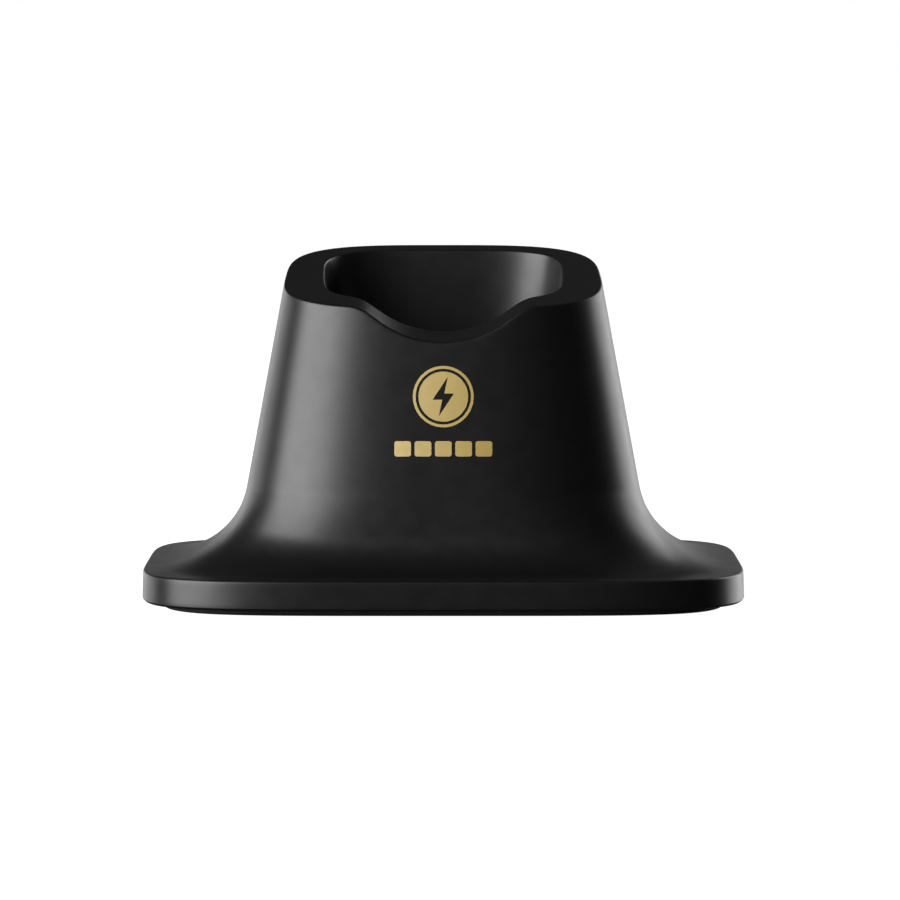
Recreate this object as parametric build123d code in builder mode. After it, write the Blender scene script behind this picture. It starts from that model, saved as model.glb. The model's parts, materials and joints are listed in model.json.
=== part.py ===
from build123d import *
from math import cos, pi, radians, sin, sqrt, tan
import os

# A charging stand for a cordless hair clipper: a moulded shell with a deep well, closed below by a
# base plate that carries a steel ballast plate, a charging board and a rubber mat. Two sprung
# contacts stand up through the floor of the well.
# Millimetres, +Z up. The origin is on the surface that the stand rests on, under its centre.
# The front, with the scooped lip and the emblem, faces -Y.

os.makedirs("parts", exist_ok=True)

# ---- Driving dimensions: outer form
BASE_HALF_X, BASE_HALF_Y, BASE_POWER = 60.0, 47.0, 5.0
BAND_BOTTOM, BAND_TOP = 1.3, 7.1
BAND_DRAFT = 0.15
TOP_SLOPE = 2.1
RIM_HALF_X, RIM_HALF_Y, RIM_POWER = 31.8, 25.0, 3.35
RIM_HEIGHT, RIM_TILT = 64.9, 12.2
BODY_DRAFT_X, BODY_DRAFT_Y = 10.5, 9.5
FLARE_RADIUS_X, FLARE_RADIUS_Y, FLARE_SECTIONS = 19.0, 9.5, 14
EDGE_ROUND, BAND_CHAMFER = 0.5, 0.35
WALL = 2.4

# ---- Driving dimensions: well and scoop
WELL_HALF_X, WELL_HALF_Y, WELL_POWER = 24.05, 19.1, 3.9
WELL_DRAFT_X, WELL_DRAFT_Y = 7.0, 5.0
WELL_FLOOR, WELL_WALL, WELL_CORNER = 22.0, 2.2, 3.0
SCOOP_DEPTH, SCOOP_SLOPE = 6.35, 33.0
SCOOP_RADIUS, SCOOP_LIP_RADIUS = 22.6, 7.5
CEILING_WALL = 2.6

# ---- Driving dimensions: base plate, mat and ballast
PLATE_TOP, PLATE_GAP = 3.3, 0.25
MAT_INSET = 3.9
SCREW_X, SCREW_Y = 42.0, 25.0
BALLAST = (72.0, 42.0, 3.0)
BALLAST_Y = -13.0
BALLAST_HOLES = [(-25.0, -21.0), (25.0, -21.0), (0.0, -1.0)]

# ---- Driving dimensions: charging contacts
CONTACT_X = 6.0
PAD_TOP = 23.5
CARRIER = (25.0, 12.0)
CARRIER_BOSS = (21.8, 8.8)
CARRIER_BOTTOM = 11.0
EAR_TOP, EAR_THICK, EAR_X = 15.6, 2.0, 15.5
PIN_RADIUS, PIN_TOP, PIN_BORE = 1.5, 25.3, 1.56
FLANGE_RADIUS, FLANGE_THICK, SPRING_BORE = 2.22, 1.0, 2.3
DOME_HEIGHT = 0.7
SHOULDER = 20.5
STOP_GAP = 0.05
SPRING_RADIUS, SPRING_WIRE, SPRING_TURNS = 1.75, 0.4, 5
TERMINAL_THICK = 0.6
RETAINER_THICK = 1.6

# ---- Driving dimensions: board and power inlet
BOARD_HALF_X, BOARD_FRONT, BOARD_BACK = 16.0, 15.0, 43.6
BOARD_BOTTOM, BOARD_THICK = 3.8, 1.0
BOARD_TOP = BOARD_BOTTOM + BOARD_THICK
POCKET_FRONT, POCKET_BACK, POCKET_TOP = 33.0, 44.2, 6.05
BOARD_SCREWS = [(x, y) for x in (-13.2, 13.2) for y in (18.0, 33.0)]
SOCKET_WIDTH, SOCKET_HEIGHT, SOCKET_LENGTH = 8.94, 3.26, 7.3
SOCKET_Z, SOCKET_MOUTH = 4.4, 46.7
LEAD_RADIUS = 0.55

# ---- Driving dimensions: screws, each (head radius, head height, shank radius, length)
BASE_SCREW = (2.75, 1.8, 1.45, 5.6)
FLANGE_SCREW = (4.2, 1.8, 1.25, 4.4)
SMALL_SCREW = (1.9, 1.3, 0.95, 5.0)
BOARD_SCREW = (1.9, 1.2, 0.95, 3.0)
SCREW_GAP = 0.05
BASE_THREAD = 4.5
BOSS_RADIUS, BOSS_BOTTOM = 3.4, 4.6
CARRIER_BOSS_RADIUS = 2.6
SCREW_PLACES = [(x, y) for x in (-SCREW_X, SCREW_X) for y in (-SCREW_Y, SCREW_Y)]
SCOOP_TOP = RIM_HEIGHT - 12
HEAD_SEAT = 3.2
CUP_RADIUS, POST_RADIUS, PAD_RADIUS = 4.4, 2.8, 2.4
FENCE_HEIGHT, RIB_HEIGHT = 2.0, 1.4
GROOVE_DEPTH = 0.3
RETAINER_SCREW_X = 10.2
TAIL_THICK, TAIL_LENGTH = 0.5, 2.8
SOCKET_SEAT, SHELL_THICK = 4.6, 0.3

# ---- Driving dimensions: what stands on the board, and the leads
CONTROLLER, INDUCTOR, FUSE = (-6.5, 31.0), (7.2, 29.0), (11.5, 38.0)
CAPACITORS = [(-11.5, 22.5), (11.5, 22.5)]
CHIPS = [(-11.0, 38.0), (-9.0, 38.0), (-7.0, 38.0), (-6.5, 26.6), (6.5, 25.0), (8.0, 20.5)]
HEADER_SIZE, HEADER_HEIGHT = (7.4, 6.0), 4.4
HEADER_Y = 23.0
HEADER_MOUTH = HEADER_Y - HEADER_SIZE[1] / 2
PLUG_Z, PLUG_LENGTH, PLUG_PITCH = BOARD_TOP + HEADER_HEIGHT / 2, 5.4, 2.5
LEAD_Z, LEAD_BEND_Y, LEAD_BEND = 8.7, 7.0, 3.6

# ---- Driving dimensions: emblem
FOIL_GAP, FOIL_THICK = 0.02, 0.08
DISC_Z, DISC_RADIUS = 42.0, 6.0
GAUGE_Z, CELL_PITCH, CELL_HEIGHT = 31.8, 4.0, 3.0
BOLT = [(0.9, 3.9), (-2.1, -0.6), (-0.2, -0.6), (-0.9, -3.9), (2.1, 0.6), (0.2, 0.6)]


def outline(half_x, half_y, power, steps=48):
    """Points of |x / half_x| ** power + |y / half_y| ** power = 1, at even angles."""
    points = []
    for step in range(steps):
        angle = 2 * pi * step / steps
        c, s = cos(angle), sin(angle)
        reach = (abs(c / half_x) ** power + abs(s / half_y) ** power) ** (-1 / power)
        points.append((reach * c, reach * s))
    return points


def tapered(*sections, ruled=True):
    """A solid between rounded outlines, each (z, half_x, half_y, power), with straight sides
    unless ruled is off."""
    with BuildPart() as solid:
        for z, half_x, half_y, power in sections:
            with BuildSketch(Plane.XY.offset(z)):
                with BuildLine():
                    Spline(*outline(half_x, half_y, power), periodic=True)
                make_face()
        loft(ruled=ruled)
    return solid.part


def body_section(z, inset=0.0):
    """The body's outline at height z, moved inwards by inset."""
    return (
        z,
        RIM_HALF_X + (RIM_HEIGHT - z) * tan(radians(BODY_DRAFT_X)) - inset,
        RIM_HALF_Y + (RIM_HEIGHT - z) * tan(radians(BODY_DRAFT_Y)) - inset,
        RIM_POWER,
    )


def flare_half(z, wall, draft, edge, edge_z, radius):
    """Half-width at height z of a drafted wall that runs out onto the low top in one arc."""
    slope = radians(TOP_SLOPE)
    on_wall = cos(draft) * wall + sin(draft) * RIM_HEIGHT + radius
    on_top = sin(slope) * edge + cos(slope) * edge_z + radius
    turn = cos(draft + slope)
    centre = (on_wall * cos(slope) - on_top * sin(draft)) / turn
    centre_z = (on_top * cos(draft) - on_wall * sin(slope)) / turn
    if z > centre_z - radius * sin(draft):
        return wall + (RIM_HEIGHT - z) * tan(draft)
    if z < centre_z - radius * cos(slope):
        return edge - (z - edge_z) / tan(slope)
    return centre - sqrt(radius**2 - (centre_z - z) ** 2)


def flare_sections(wall_inset, edge_inset, edge_z):
    """Sections of the flare between the low top and the body, from the bottom up. It is wide at the
    sides and tight at the front and back, and its outline turns from the base's to the body's."""
    draft, slope = radians(BODY_DRAFT_X), radians(TOP_SLOPE)
    radius_x, radius_y = FLARE_RADIUS_X + edge_inset, FLARE_RADIUS_Y + edge_inset
    side = (RIM_HALF_X - wall_inset, draft, BASE_HALF_X - edge_inset, edge_z, radius_x)
    front = (
        RIM_HALF_Y - wall_inset,
        radians(BODY_DRAFT_Y),
        BASE_HALF_Y - edge_inset,
        edge_z,
        radius_y,
    )
    on_wall = cos(draft) * side[0] + sin(draft) * RIM_HEIGHT + radius_x
    on_top = sin(slope) * side[2] + cos(slope) * edge_z + radius_x
    centre_z = (on_top * cos(draft) - on_wall * sin(slope)) / cos(draft + slope)
    sections = []
    for step in range(FLARE_SECTIONS + 1):
        share = step / FLARE_SECTIONS
        angle = (1 - share) * (pi / 2 - slope) + share * draft
        z = centre_z - radius_x * sin(angle)
        power = BASE_POWER + share * (RIM_POWER - BASE_POWER)
        sections.append((z, flare_half(z, *side), flare_half(z, *front), power))
    return sections


def well_section(z, outset=0.0):
    """The well's outline at height z, moved outwards by outset."""
    return (
        z,
        WELL_HALF_X - (RIM_HEIGHT - z) * tan(radians(WELL_DRAFT_X)) + outset,
        WELL_HALF_Y - (RIM_HEIGHT - z) * tan(radians(WELL_DRAFT_Y)) + outset,
        WELL_POWER,
    )


# The rim plane leans down towards the front. The lip plane stands across it, at the well's middle:
# its x runs along X, its y along the rim's normal, and its normal runs forwards down the rim.
tilt = radians(RIM_TILT)
lip_plane = Plane(
    origin=(0, 0, RIM_HEIGHT), x_dir=(1, 0, 0), z_dir=(0, -cos(tilt), -sin(tilt))
)


def above_the_lip(drop, reach=70.0):
    """What is cleared away above the rim: flat behind, scooped in front, lowered evenly by drop."""
    slope = radians(SCOOP_SLOPE)
    bottom_radius = SCOOP_RADIUS + drop
    lip_radius = SCOOP_LIP_RADIUS - drop
    bottom = (SCOOP_RADIUS * sin(slope), SCOOP_RADIUS * (1 - cos(slope)) - SCOOP_DEPTH)
    lip_y = -SCOOP_LIP_RADIUS * (1 - cos(slope))
    lip_end = bottom[0] + (lip_y - bottom[1]) / tan(slope) + SCOOP_LIP_RADIUS * sin(slope)
    low = (bottom_radius * sin(slope), SCOOP_RADIUS - SCOOP_DEPTH - bottom_radius * cos(slope))
    high = (lip_end - lip_radius * sin(slope), -SCOOP_LIP_RADIUS + lip_radius * cos(slope))
    with BuildPart() as tool:
        with BuildSketch(lip_plane):
            with BuildLine():
                left = Line((-reach, -drop), (-lip_end, -drop))
                fall = JernArc(left @ 1, left % 1, lip_radius, -SCOOP_SLOPE)
                down = Line(fall @ 1, (-low[0], low[1]))
                valley = JernArc(down @ 1, down % 1, bottom_radius, 2 * SCOOP_SLOPE)
                up = Line(valley @ 1, high)
                rise = JernArc(up @ 1, up % 1, lip_radius, -SCOOP_SLOPE)
                Polyline(rise @ 1, (reach, -drop), (reach, reach), (-reach, reach), left @ 0)
            make_face()
        extrude(amount=reach)
        with BuildSketch(lip_plane):
            with Locations((0, (reach - drop) / 2)):
                Rectangle(2 * reach, reach + drop)
        extrude(amount=-reach)
    return tool.part


def rounded_box(size, corner, bottom, centre=(0, 0)):
    """An upright box of (x, y, z) size with round corners, standing on height bottom."""
    with BuildPart() as box:
        with BuildSketch(Plane.XY.offset(bottom)):
            with Locations(centre):
                RectangleRounded(size[0], size[1], corner)
        extrude(amount=size[2])
    return box.part


def screw(head_radius, head_height, shank_radius, length):
    """A pan-head screw with a cross recess: the head stands on z = 0 and the shank hangs below."""
    with BuildPart() as fastener:
        Cylinder(head_radius, head_height, align=(Align.CENTER, Align.CENTER, Align.MIN))
        fillet(fastener.edges().sort_by(Axis.Z)[-1], head_height * 0.45)
        Cylinder(shank_radius, length, align=(Align.CENTER, Align.CENTER, Align.MAX))
        chamfer(fastener.edges().sort_by(Axis.Z)[0], shank_radius * 0.4)
        with BuildSketch(Plane.XY.offset(head_height)):
            Rectangle(head_radius * 1.05, head_radius * 0.3)
            Rectangle(head_radius * 0.3, head_radius * 1.05)
        extrude(amount=-head_height * 0.6, taper=8, mode=Mode.SUBTRACT)
    return fastener.part


# ---- upper_housing
inner_edge_z = BAND_TOP - WALL / cos(radians(TOP_SLOPE)) + WALL * tan(radians(TOP_SLOPE))
body_wall = WALL / cos(radians(BODY_DRAFT_X))

band_x, band_y = BASE_HALF_X + BAND_DRAFT, BASE_HALF_Y + BAND_DRAFT
band_form = tapered(
    (BAND_BOTTOM, band_x - BAND_CHAMFER, band_y - BAND_CHAMFER, BASE_POWER),
    (BAND_BOTTOM + BAND_CHAMFER, band_x, band_y, BASE_POWER),
    (BAND_TOP, BASE_HALF_X, BASE_HALF_Y, BASE_POWER),
)
outer_flare = flare_sections(0.0, 0.0, BAND_TOP)
top_form = tapered((BAND_TOP, BASE_HALF_X, BASE_HALF_Y, BASE_POWER), outer_flare[0])
flare_form = tapered(*outer_flare, ruled=False)
body_form = tapered(outer_flare[-1], body_section(RIM_HEIGHT + 12))
well_form = tapered(well_section(WELL_FLOOR), well_section(RIM_HEIGHT + 12))
lip_tool = above_the_lip(0.0)

inner_x, inner_y = band_x - WALL, band_y - WALL
inner_band = tapered(
    (BAND_BOTTOM - 1, inner_x, inner_y, BASE_POWER),
    (inner_edge_z, BASE_HALF_X - WALL, BASE_HALF_Y - WALL, BASE_POWER),
)
inner_flare = flare_sections(body_wall, WALL, inner_edge_z)
inner_top = tapered(
    (inner_edge_z, BASE_HALF_X - WALL, BASE_HALF_Y - WALL, BASE_POWER), inner_flare[0]
)
inner_flare_form = tapered(*inner_flare, ruled=False)
inner_body = tapered(inner_flare[-1], body_section(RIM_HEIGHT + 12, body_wall))
well_skin = tapered(
    well_section(WELL_FLOOR - WALL, WELL_WALL), well_section(RIM_HEIGHT + 12, WELL_WALL)
)

with BuildPart() as cavity:
    add(inner_band)
    add(inner_top)
    add(inner_flare_form)
    add(inner_body)
    add(above_the_lip(CEILING_WALL), mode=Mode.SUBTRACT)
    add(well_skin, mode=Mode.SUBTRACT)
    # Bosses for the base screws hang from the sloped top, and two for the carrier from the floor.
    with BuildSketch(Plane.XY.offset(BOSS_BOTTOM)):
        with Locations(*SCREW_PLACES):
            Circle(BOSS_RADIUS)
    extrude(amount=BASE_THREAD + 2 * WALL, mode=Mode.SUBTRACT)
    with BuildSketch(Plane.XY.offset(EAR_TOP)):
        with Locations((-EAR_X, 0), (EAR_X, 0)):
            Circle(CARRIER_BOSS_RADIUS)
    extrude(amount=WELL_FLOOR - EAR_TOP, mode=Mode.SUBTRACT)

with BuildPart() as upper_housing:
    add(band_form)
    add(top_form)
    add(flare_form)
    add(body_form)
    add(lip_tool, mode=Mode.SUBTRACT)
    add(well_form, mode=Mode.SUBTRACT)
    rims = upper_housing.edges().filter_by(lambda edge: edge.bounding_box().min.Z > SCOOP_TOP)
    fillet(rims.filter_by(GeomType.LINE, reverse=True), EDGE_ROUND)
    floor_edge = upper_housing.edges().filter_by(
        lambda edge: abs(edge.center().Z - WELL_FLOOR) < 0.1 and edge.length > WELL_HALF_X
    )
    fillet(floor_edge, WELL_CORNER)
    band_edge = upper_housing.edges().filter_by(
        lambda edge: abs(edge.center().Z - BAND_TOP) < 0.02 and edge.length > BASE_HALF_X
    )
    fillet(band_edge, EDGE_ROUND)
    add(cavity.part, mode=Mode.SUBTRACT)
    # The low top is thinned over the charging board.
    with BuildSketch(Plane.XY.offset(BOARD_BOTTOM - 1)):
        with Locations((0, (POCKET_FRONT + POCKET_BACK) / 2)):
            Rectangle(2 * BOARD_HALF_X + 2, POCKET_BACK - POCKET_FRONT)
    extrude(amount=POCKET_TOP - BOARD_BOTTOM + 1, mode=Mode.SUBTRACT)
    # Pilot holes for the base screws and the carrier's screws.
    with BuildSketch(Plane.XY.offset(BOSS_BOTTOM)):
        with Locations(*SCREW_PLACES):
            Circle(BASE_SCREW[2] + SCREW_GAP)
    extrude(amount=BASE_THREAD, mode=Mode.SUBTRACT)
    with BuildSketch(Plane.XY.offset(EAR_TOP)):
        with Locations((-EAR_X, 0), (EAR_X, 0)):
            Circle(SMALL_SCREW[2] + SCREW_GAP)
    extrude(amount=SMALL_SCREW[3], mode=Mode.SUBTRACT)
    # The well's floor is open for the contact carrier.
    with BuildSketch(Plane.XY.offset(WELL_FLOOR - WALL - 1)):
        RectangleRounded(CARRIER_BOSS[0] + 0.2, CARRIER_BOSS[1] + 0.2, 1.6)
    extrude(amount=WALL + 2, mode=Mode.SUBTRACT)
    # The power inlet opens through the back of the band.
    with BuildSketch(Plane((0, SOCKET_MOUTH + 2, SOCKET_Z), x_dir=(-1, 0, 0), z_dir=(0, 1, 0))):
        RectangleRounded(SOCKET_WIDTH + 0.4, SOCKET_HEIGHT + 0.4, SOCKET_HEIGHT / 2)
    extrude(amount=-SOCKET_LENGTH - 2, mode=Mode.SUBTRACT)
upper_housing.part.label = "upper_housing"
export_step(upper_housing.part, "parts/upper_housing.step")

# ---- base_plate
plate_x, plate_y = inner_x - PLATE_GAP, inner_y - PLATE_GAP
plate_form = tapered(
    (BAND_BOTTOM, plate_x, plate_y, BASE_POWER), (PLATE_TOP, plate_x, plate_y, BASE_POWER)
)
ballast_fence = rounded_box(
    (BALLAST[0] + 3.0, BALLAST[1] + 3.0, FENCE_HEIGHT), 4.5, PLATE_TOP, (0, BALLAST_Y)
)
ballast_room = rounded_box(
    (BALLAST[0] + 0.4, BALLAST[1] + 0.4, FENCE_HEIGHT + 1), 3.2, PLATE_TOP, (0, BALLAST_Y)
)
with BuildPart() as base_plate:
    add(ballast_fence)
    add(ballast_room, mode=Mode.SUBTRACT)
    # The fence stays at its four corners only.
    with BuildSketch(Plane.XY.offset(PLATE_TOP)):
        with Locations((0, BALLAST_Y)):
            Rectangle(BALLAST[0] - 16, BALLAST[1] + 10)
            Rectangle(BALLAST[0] + 10, BALLAST[1] - 14)
    extrude(amount=FENCE_HEIGHT + 1, mode=Mode.SUBTRACT)
    add(plate_form)
    # Raised cups round the base screws, posts through the ballast, and pads under the board.
    with BuildSketch(Plane.XY.offset(PLATE_TOP)):
        with Locations(*SCREW_PLACES):
            Circle(CUP_RADIUS)
    extrude(amount=BOSS_BOTTOM - PLATE_TOP)
    with BuildSketch(Plane.XY.offset(PLATE_TOP)):
        with Locations(*BALLAST_HOLES):
            Circle(POST_RADIUS)
    extrude(amount=BALLAST[2] - 0.1)
    with BuildSketch(Plane.XY.offset(PLATE_TOP)):
        with Locations(*BOARD_SCREWS):
            Circle(PAD_RADIUS)
    extrude(amount=BOARD_BOTTOM - PLATE_TOP)
    # Stiffening ribs at the sides.
    with BuildSketch(Plane.XY.offset(PLATE_TOP)):
        for x in (-50.0, 50.0):
            with Locations((x, 0)):
                Rectangle(1.2, 40.0)
        for x in (-26.0, 26.0):
            with Locations((x, 24.0)):
                Rectangle(1.2, 24.0)
    extrude(amount=RIB_HEIGHT)
    with BuildSketch(Plane.XY.offset(BAND_BOTTOM)):
        with Locations(*SCREW_PLACES):
            Circle(BASE_SCREW[0] + 0.3)
    extrude(amount=HEAD_SEAT - BAND_BOTTOM, mode=Mode.SUBTRACT)
    with BuildSketch(Plane.XY.offset(BAND_BOTTOM)):
        with Locations(*SCREW_PLACES):
            Circle(BASE_SCREW[2] + 0.2)
    extrude(amount=BOSS_BOTTOM - BAND_BOTTOM, mode=Mode.SUBTRACT)
    with BuildSketch(Plane.XY.offset(PLATE_TOP + BALLAST[2])):
        with Locations(*BALLAST_HOLES):
            Circle(FLANGE_SCREW[2] + SCREW_GAP)
    extrude(amount=-FLANGE_SCREW[3] - 0.1, mode=Mode.SUBTRACT)
    with BuildSketch(Plane.XY.offset(BOARD_TOP)):
        with Locations(*BOARD_SCREWS):
            Circle(BOARD_SCREW[2] + SCREW_GAP)
    extrude(amount=-BOARD_SCREW[3] - 0.1, mode=Mode.SUBTRACT)
    # Room under the power inlet.
    with BuildSketch(Plane.XY.offset(PLATE_TOP)):
        with Locations((0, BOARD_BACK - 1)):
            Rectangle(SOCKET_WIDTH + 1, 9)
    extrude(amount=-0.8, mode=Mode.SUBTRACT)
base_plate.part.label = "base_plate"
export_step(base_plate.part, "parts/base_plate.step")

# ---- foot_mat
mat_x, mat_y = band_x - MAT_INSET, band_y - MAT_INSET
mat_form = tapered((0, mat_x, mat_y, BASE_POWER), (BAND_BOTTOM, mat_x, mat_y, BASE_POWER))
groove_rings = [
    tapered(
        (-1, mat_x - inset, mat_y - inset, BASE_POWER),
        (GROOVE_DEPTH, mat_x - inset, mat_y - inset, BASE_POWER),
    )
    for inset in (3.0, 4.2, 6.0, 7.2)
]
with BuildPart() as grooves:
    for ring, mode in zip(groove_rings, (Mode.ADD, Mode.SUBTRACT, Mode.ADD, Mode.SUBTRACT)):
        add(ring, mode=mode)
with BuildPart() as foot_mat:
    add(mat_form)
    chamfer(foot_mat.edges().group_by(Axis.Z)[0], 0.35)
    add(grooves.part, mode=Mode.SUBTRACT)
    # A shallow blank panel in the middle, and a hole at each base screw.
    with BuildSketch(Plane.XY):
        RectangleRounded(50, 22, 3)
    extrude(amount=GROOVE_DEPTH, mode=Mode.SUBTRACT)
    with BuildSketch(Plane.XY):
        with Locations(*SCREW_PLACES):
            Circle(BASE_SCREW[0] + 0.6)
    extrude(amount=BAND_BOTTOM, mode=Mode.SUBTRACT)
foot_mat.part.label = "foot_mat"
export_step(foot_mat.part, "parts/foot_mat.step")

# ---- ballast_plate
with BuildPart() as ballast_plate:
    with BuildSketch(Plane.XY.offset(PLATE_TOP)):
        with Locations((0, BALLAST_Y)):
            RectangleRounded(BALLAST[0], BALLAST[1], 3)
        with Locations(*BALLAST_HOLES):
            Circle(POST_RADIUS + 0.3, mode=Mode.SUBTRACT)
    extrude(amount=BALLAST[2])
    chamfer(ballast_plate.faces().sort_by(Axis.Z)[-1].outer_wire().edges(), 0.4)
ballast_plate.part.label = "ballast_plate"
export_step(ballast_plate.part, "parts/ballast_plate.step")

# ---- contact_carrier
boss_size = (*CARRIER_BOSS, PAD_TOP - WELL_FLOOR + WALL + 1)
carrier_size = (*CARRIER, WELL_FLOOR - WALL - CARRIER_BOTTOM)
carrier_block = rounded_box(carrier_size, 1.5, CARRIER_BOTTOM)
carrier_boss = rounded_box(boss_size, 1.5, WELL_FLOOR - WALL - 1)
with BuildPart() as contact_carrier:
    add(carrier_boss)
    fillet(contact_carrier.edges().group_by(Axis.Z)[-1], 0.6)
    add(carrier_block)
    with BuildSketch(Plane.XY.offset(EAR_TOP)):
        SlotCenterToCenter(2 * EAR_X, 2 * CARRIER_BOSS_RADIUS + 1)
    extrude(amount=-EAR_THICK)
    with Locations((-CONTACT_X, 0, PAD_TOP), (CONTACT_X, 0, PAD_TOP)):
        Hole(PIN_BORE, PAD_TOP - CARRIER_BOTTOM)
    with BuildSketch(Plane.XY.offset(CARRIER_BOTTOM)):
        with Locations((-CONTACT_X, 0), (CONTACT_X, 0)):
            Circle(SPRING_BORE)
    extrude(amount=SHOULDER - CARRIER_BOTTOM, mode=Mode.SUBTRACT)
    with BuildSketch(Plane.XY.offset(EAR_TOP)):
        with Locations((-EAR_X, 0), (EAR_X, 0)):
            Circle(SMALL_SCREW[2] + 0.15)
    extrude(amount=-EAR_THICK, mode=Mode.SUBTRACT)
    with BuildSketch(Plane.XY.offset(CARRIER_BOTTOM)):
        with Locations((-RETAINER_SCREW_X, 0), (RETAINER_SCREW_X, 0)):
            Circle(SMALL_SCREW[2] + SCREW_GAP)
    extrude(amount=SMALL_SCREW[3] - RETAINER_THICK + 0.2, mode=Mode.SUBTRACT)
contact_carrier.part.label = "contact_carrier"
export_step(contact_carrier.part, "parts/contact_carrier.step")

# ---- contact_retainer
with BuildPart() as contact_retainer:
    with BuildSketch(Plane.XY.offset(CARRIER_BOTTOM)):
        RectangleRounded(*CARRIER, 1.5)
        with Locations((-CONTACT_X, 0), (CONTACT_X, 0)):
            Rectangle(2.0, 1.2, mode=Mode.SUBTRACT)
        with Locations((-RETAINER_SCREW_X, 0), (RETAINER_SCREW_X, 0)):
            Circle(SMALL_SCREW[2] + 0.15, mode=Mode.SUBTRACT)
    extrude(amount=-RETAINER_THICK)
    chamfer(contact_retainer.faces().sort_by(Axis.Z)[0].outer_wire().edges(), 0.3)
contact_retainer.part.label = "contact_retainer"
export_step(contact_retainer.part, "parts/contact_retainer.step")

# ---- plungers, springs and terminals, left and right of the middle
flange_top = SHOULDER - STOP_GAP
flange_bottom = flange_top - FLANGE_THICK
terminal_top = CARRIER_BOTTOM + TERMINAL_THICK
dome_radius = (PIN_RADIUS**2 + DOME_HEIGHT**2) / (2 * DOME_HEIGHT)
for side, x in (("left", -CONTACT_X), ("right", CONTACT_X)):
    with BuildPart() as contact_plunger:
        with BuildSketch(Plane((x, 0, 0), x_dir=(1, 0, 0), z_dir=(0, -1, 0))):
            with BuildLine():
                Polyline(
                    (0, PIN_TOP),
                    (0, flange_bottom - 1.2),
                    (1.1, flange_bottom - 1.2),
                    (1.1, flange_bottom),
                    (FLANGE_RADIUS, flange_bottom),
                    (FLANGE_RADIUS, flange_top),
                    (PIN_RADIUS, flange_top),
                    (PIN_RADIUS, PIN_TOP - DOME_HEIGHT),
                )
                RadiusArc((0, PIN_TOP), (PIN_RADIUS, PIN_TOP - DOME_HEIGHT), dome_radius)
            make_face()
        revolve(axis=Axis((x, 0, 0), (0, 0, 1)))
    contact_plunger.part.label = side + "_contact_plunger"
    export_step(contact_plunger.part, "parts/" + side + "_contact_plunger.step")

    coil_low = terminal_top + SPRING_WIRE / 2
    coil_height = flange_bottom - terminal_top - SPRING_WIRE
    with BuildPart() as contact_spring:
        with BuildLine():
            coil = Helix(
                coil_height / SPRING_TURNS, coil_height, SPRING_RADIUS, center=(x, 0, coil_low)
            )
        with BuildSketch(Plane(coil @ 0, z_dir=coil % 0)):
            Circle(SPRING_WIRE / 2)
        sweep(is_frenet=True)
        # The end turns are closed and lie flat.
        with Locations((x, 0, coil_low), (x, 0, coil_low + coil_height)):
            Torus(SPRING_RADIUS, SPRING_WIRE / 2)
    contact_spring.part.label = side + "_contact_spring"
    export_step(contact_spring.part, "parts/" + side + "_contact_spring.step")

    with BuildPart() as contact_terminal:
        with BuildSketch(Plane.XY.offset(CARRIER_BOTTOM)):
            with Locations((x, 0)):
                Circle(SPRING_BORE - 0.1)
        extrude(amount=TERMINAL_THICK)
        with BuildSketch(Plane.XY.offset(terminal_top)):
            with Locations((x, 0)):
                Circle(1.1)
        extrude(amount=1.0, taper=10)
        with BuildSketch(Plane.XY.offset(CARRIER_BOTTOM)):
            with Locations((x, 0)):
                Rectangle(1.6, TAIL_THICK)
        extrude(amount=-TAIL_LENGTH)
    contact_terminal.part.label = side + "_contact_terminal"
    export_step(contact_terminal.part, "parts/" + side + "_contact_terminal.step")

# ---- charging_board: the power inlet sinks into a cut-out in its back edge
board_length = BOARD_BACK - BOARD_FRONT
with BuildPart() as charging_board:
    with BuildSketch(Plane.XY.offset(BOARD_BOTTOM)):
        with Locations((0, (BOARD_FRONT + BOARD_BACK) / 2)):
            RectangleRounded(2 * BOARD_HALF_X, board_length, 1.5)
        with Locations((0, BOARD_BACK)):
            Rectangle(SOCKET_WIDTH + 0.3, 2 * SOCKET_SEAT, mode=Mode.SUBTRACT)
        with Locations(*BOARD_SCREWS):
            Circle(BOARD_SCREW[2] + 0.15, mode=Mode.SUBTRACT)
    extrude(amount=BOARD_THICK)
charging_board.part.label = "charging_board"
export_step(charging_board.part, "parts/charging_board.step")

# ---- usb_socket_shell
inlet_plane = Plane((0, SOCKET_MOUTH, SOCKET_Z), x_dir=(-1, 0, 0), z_dir=(0, 1, 0))
with BuildPart() as usb_socket_shell:
    with BuildSketch(inlet_plane):
        RectangleRounded(SOCKET_WIDTH, SOCKET_HEIGHT, SOCKET_HEIGHT / 2 - 0.01)
        offset(amount=-SHELL_THICK, mode=Mode.SUBTRACT)
    extrude(amount=-SOCKET_LENGTH)
    # Two wings on each side lie on the board.
    with BuildSketch(Plane.XY.offset(BOARD_TOP)):
        for wing_x in (-SOCKET_WIDTH / 2 - 0.3, SOCKET_WIDTH / 2 + 0.3):
            with Locations((wing_x, BOARD_BACK - 1.4), (wing_x, BOARD_BACK - 3.6)):
                Rectangle(1.4, 1.0)
    extrude(amount=0.25)
    with BuildSketch(inlet_plane):
        RectangleRounded(
            SOCKET_WIDTH - 2 * SHELL_THICK,
            SOCKET_HEIGHT - 2 * SHELL_THICK,
            SOCKET_HEIGHT / 2 - SHELL_THICK - 0.01,
        )
    extrude(amount=-SOCKET_LENGTH, mode=Mode.SUBTRACT)
usb_socket_shell.part.label = "usb_socket_shell"
export_step(usb_socket_shell.part, "parts/usb_socket_shell.step")

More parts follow.
